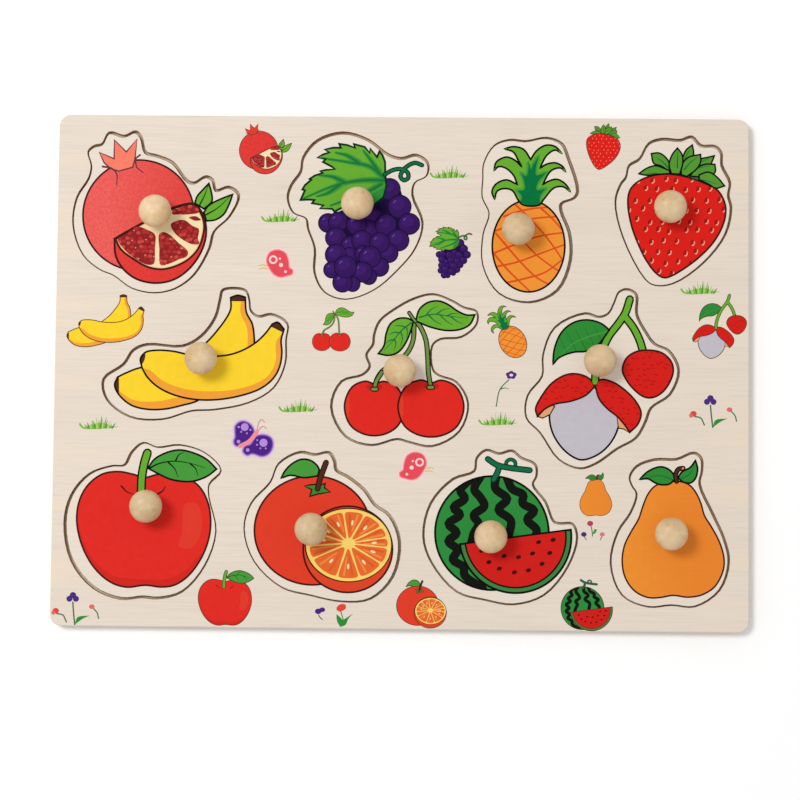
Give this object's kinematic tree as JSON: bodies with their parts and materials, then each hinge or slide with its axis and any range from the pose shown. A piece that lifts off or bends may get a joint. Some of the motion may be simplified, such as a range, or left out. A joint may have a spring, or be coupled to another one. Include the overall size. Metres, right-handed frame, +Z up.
{
  "type": "peg puzzle",
  "caption": "Flat wooden puzzle board with fruit-shaped cut-outs, holding printed fruit pieces that lift out by turned wooden pegs.",
  "frame": {"origin": "middle of the underside of the backing board, on the surface that the board lies on", "axes": "+X along the board's long side to the right of the picture, +Y to the top of the picture, +Z up out of the printed face"},
  "size_m": [0.3, 0.222, 0.023],
  "materials": {
    "face_wood": "pale printed plywood, matt clear coat",
    "backing_wood": "plain sanded plywood",
    "peg_wood": "turned and sanded, unpainted",
    "pomegranate_print": "printed plywood with dark cut edges, satin ink",
    "grapes_print": "printed plywood with dark cut edges, satin ink",
    "pineapple_print": "printed plywood with dark cut edges, satin ink",
    "strawberry_print": "printed plywood with dark cut edges, satin ink",
    "banana_print": "printed plywood with dark cut edges, satin ink",
    "cherries_print": "printed plywood with dark cut edges, satin ink",
    "lychee_print": "printed plywood with dark cut edges, satin ink",
    "apple_print": "printed plywood with dark cut edges, satin ink",
    "orange_print": "printed plywood with dark cut edges, satin ink",
    "watermelon_print": "printed plywood with dark cut edges, satin ink",
    "pear_print": "printed plywood with dark cut edges, satin ink"
  },
  "bodies": {
    "board": {"top_board": "face_wood", "backing_board": "backing_wood"},
    "pomegranate": {"pomegranate_piece": "pomegranate_print", "pomegranate_peg": "peg_wood"},
    "grapes": {"grapes_piece": "grapes_print", "grapes_peg": "peg_wood"},
    "pineapple": {"pineapple_piece": "pineapple_print", "pineapple_peg": "peg_wood"},
    "strawberry": {"strawberry_piece": "strawberry_print", "strawberry_peg": "peg_wood"},
    "banana": {"banana_piece": "banana_print", "banana_peg": "peg_wood"},
    "cherries": {"cherries_piece": "cherries_print", "cherries_peg": "peg_wood"},
    "lychee": {"lychee_piece": "lychee_print", "lychee_peg": "peg_wood"},
    "apple": {"apple_piece": "apple_print", "apple_peg": "peg_wood"},
    "orange": {"orange_piece": "orange_print", "orange_peg": "peg_wood"},
    "watermelon": {"watermelon_piece": "watermelon_print", "watermelon_peg": "peg_wood"},
    "pear": {"pear_piece": "pear_print", "pear_peg": "peg_wood"}
  },
  "joints": [
    {"name": "pomegranate_lift", "type": "slide", "parent": "board", "child": "pomegranate", "axis": [0, 0, 1], "range_m": [0, 0.05]},
    {"name": "grapes_lift", "type": "slide", "parent": "board", "child": "grapes", "axis": [0, 0, 1], "range_m": [0, 0.05]},
    {"name": "pineapple_lift", "type": "slide", "parent": "board", "child": "pineapple", "axis": [0, 0, 1], "range_m": [0, 0.05]},
    {"name": "strawberry_lift", "type": "slide", "parent": "board", "child": "strawberry", "axis": [0, 0, 1], "range_m": [0, 0.05]},
    {"name": "banana_lift", "type": "slide", "parent": "board", "child": "banana", "axis": [0, 0, 1], "range_m": [0, 0.05]},
    {"name": "cherries_lift", "type": "slide", "parent": "board", "child": "cherries", "axis": [0, 0, 1], "range_m": [0, 0.05]},
    {"name": "lychee_lift", "type": "slide", "parent": "board", "child": "lychee", "axis": [0, 0, 1], "range_m": [0, 0.05]},
    {"name": "apple_lift", "type": "slide", "parent": "board", "child": "apple", "axis": [0, 0, 1], "range_m": [0, 0.05]},
    {"name": "orange_lift", "type": "slide", "parent": "board", "child": "orange", "axis": [0, 0, 1], "range_m": [0, 0.05]},
    {"name": "watermelon_lift", "type": "slide", "parent": "board", "child": "watermelon", "axis": [0, 0, 1], "range_m": [0, 0.05]},
    {"name": "pear_lift", "type": "slide", "parent": "board", "child": "pear", "axis": [0, 0, 1], "range_m": [0, 0.05]}
  ]
}
